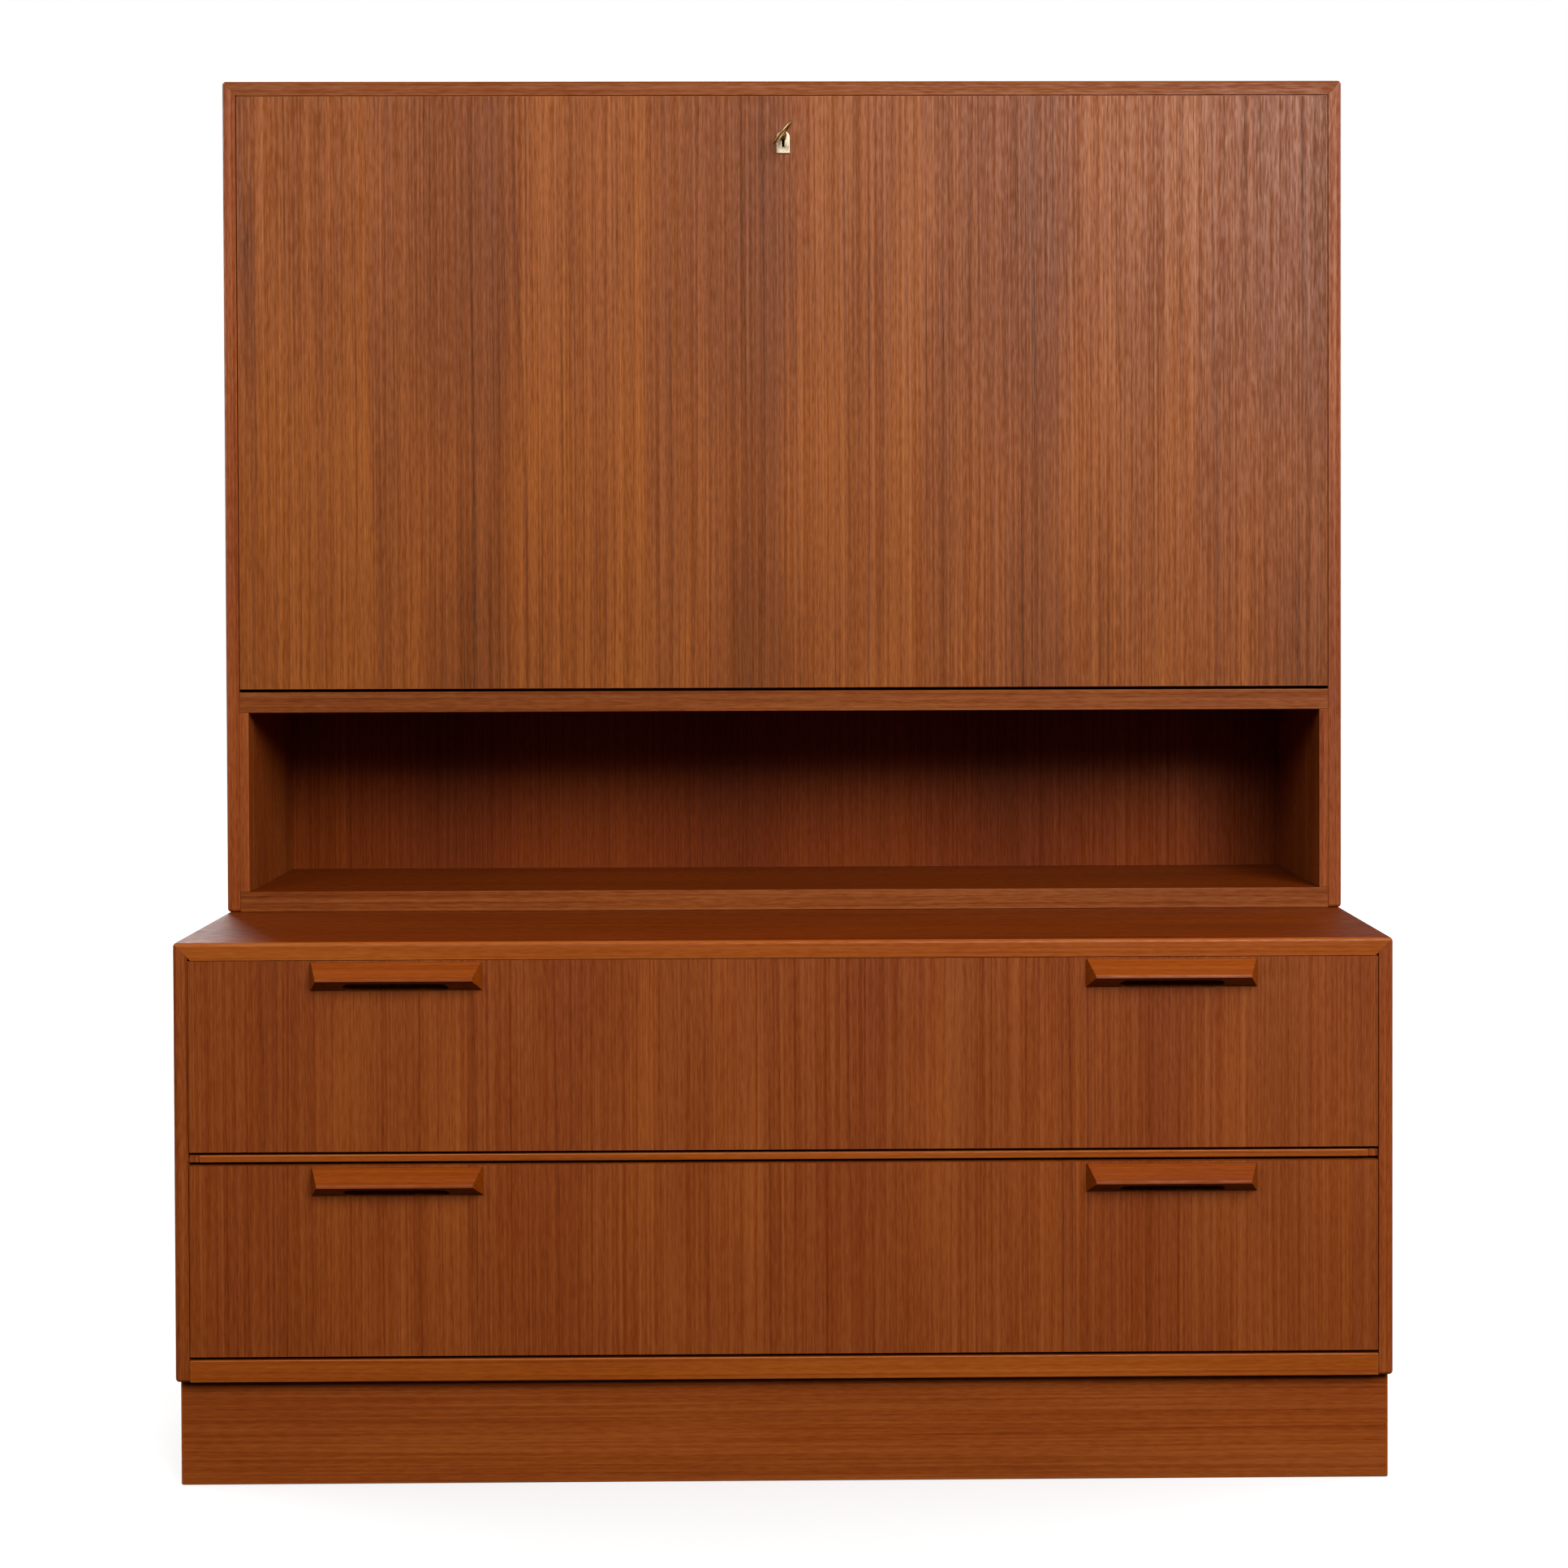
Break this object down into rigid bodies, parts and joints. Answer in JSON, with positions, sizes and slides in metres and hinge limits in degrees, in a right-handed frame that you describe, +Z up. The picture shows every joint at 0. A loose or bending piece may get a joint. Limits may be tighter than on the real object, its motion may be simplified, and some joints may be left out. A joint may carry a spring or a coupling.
{
  "type": "secretary desk",
  "caption": "Teak secretary desk: a fall-front writing cabinet over an open niche, on a deeper chest with full-width drawers and a recessed plinth.",
  "frame": {"origin": "on the floor, at the centre of the desk's overall footprint, drawer pulls included", "axes": "+Z up, -Y out of the front where the flap and the drawers open, +X to the right as seen from the front"},
  "size_m": [1.1, 0.458, 1.31],
  "materials": {
    "teak_veneer": "oiled teak veneer, satin",
    "teak_solid": "oiled solid teak, satin",
    "back_panel": "teak-faced plywood, satin",
    "drawer_beech": "lacquered beech",
    "plywood": "sanded birch plywood",
    "brass": "worn satin brass",
    "lock_steel": "plain rolled steel"
  },
  "bodies": {
    "cabinet": {"base_side_left": "teak_veneer", "base_side_right": "teak_veneer", "base_top": "teak_veneer", "base_bottom": "teak_veneer", "upper_side_left": "teak_veneer", "upper_side_right": "teak_veneer", "upper_top": "teak_veneer", "upper_bottom": "teak_veneer", "desk_shelf": "teak_veneer", "desk_floor": "teak_veneer", "fitment_upright_left": "teak_veneer", "fitment_upright_right": "teak_veneer", "fitment_shelf_left": "teak_veneer", "fitment_shelf_right": "teak_veneer", "fitment_shelf_centre": "teak_veneer", "plinth_front": "teak_solid", "plinth_left": "teak_solid", "plinth_right": "teak_solid", "drawer_rail": "teak_solid", "niche_strip_left": "teak_solid", "niche_strip_right": "teak_solid", "upper_back": "back_panel", "plinth_back": "drawer_beech", "upper_drawer_runner_left": "drawer_beech", "upper_drawer_runner_right": "drawer_beech", "lower_drawer_runner_left": "drawer_beech", "lower_drawer_runner_right": "drawer_beech", "dowel_left": "drawer_beech", "dowel_right": "drawer_beech", "base_back": "plywood", "pivot_plate_left": "brass", "pivot_plate_right": "brass", "stay_stud_left": "brass", "stay_stud_right": "brass", "lock_strike": "brass"},
    "flap": {"flap_panel": "teak_veneer", "flap_plate_left": "brass", "flap_plate_right": "brass", "stay_bracket_left": "brass", "stay_bracket_right": "brass", "lock_case": "lock_steel", "escutcheon": "brass"},
    "stay_arm_left": {"stay_arm_left": "brass"},
    "stay_arm_right": {"stay_arm_right": "brass"},
    "key": {"key": "brass"},
    "bolt": {"lock_bolt": "brass"},
    "upper_drawer": {"upper_drawer_front": "teak_veneer", "upper_drawer_pull_left": "teak_solid", "upper_drawer_pull_right": "teak_solid", "upper_drawer_side_left": "drawer_beech", "upper_drawer_side_right": "drawer_beech", "upper_drawer_back": "drawer_beech", "upper_drawer_bottom": "plywood"},
    "lower_drawer": {"lower_drawer_front": "teak_veneer", "lower_drawer_pull_left": "teak_solid", "lower_drawer_pull_right": "teak_solid", "lower_drawer_side_left": "drawer_beech", "lower_drawer_side_right": "drawer_beech", "lower_drawer_back": "drawer_beech", "lower_drawer_bottom": "plywood"}
  },
  "joints": [
    {"name": "flap_hinge", "type": "hinge", "parent": "cabinet", "child": "flap", "pos_m": [0, 0.014, 0.7205], "axis": [1, 0, 0], "range_deg": [0, 90]},
    {"name": "stay_left", "type": "hinge", "parent": "flap", "child": "stay_arm_left", "pos_m": [0, 0.033, 0.82187], "axis": [1, 0, 0], "range_deg": [-45, 0]},
    {"name": "stay_right", "type": "hinge", "parent": "flap", "child": "stay_arm_right", "pos_m": [0, 0.033, 0.82187], "axis": [1, 0, 0], "range_deg": [-45, 0]},
    {"name": "key_turn", "type": "hinge", "parent": "flap", "child": "key", "pos_m": [0, 0.007, 1.2542], "axis": [0, 1, 0], "range_deg": [0, 180]},
    {"name": "bolt_slide", "type": "slide", "parent": "flap", "child": "bolt", "axis": [0, 0, 1], "range_m": [0, 0.008]},
    {"name": "upper_drawer_slide", "type": "slide", "parent": "cabinet", "child": "upper_drawer", "axis": [0, -1, 0], "range_m": [0, 0.3]},
    {"name": "lower_drawer_slide", "type": "slide", "parent": "cabinet", "child": "lower_drawer", "axis": [0, -1, 0], "range_m": [0, 0.3]}
  ],
  "couplings": [
    {"joint": "stay_left", "follows": "flap_hinge", "ratio": -0.5},
    {"joint": "stay_right", "follows": "flap_hinge", "ratio": -0.5},
    {"joint": "key_turn", "follows": "bolt_slide", "rad_per_m": 392.69}
  ]
}
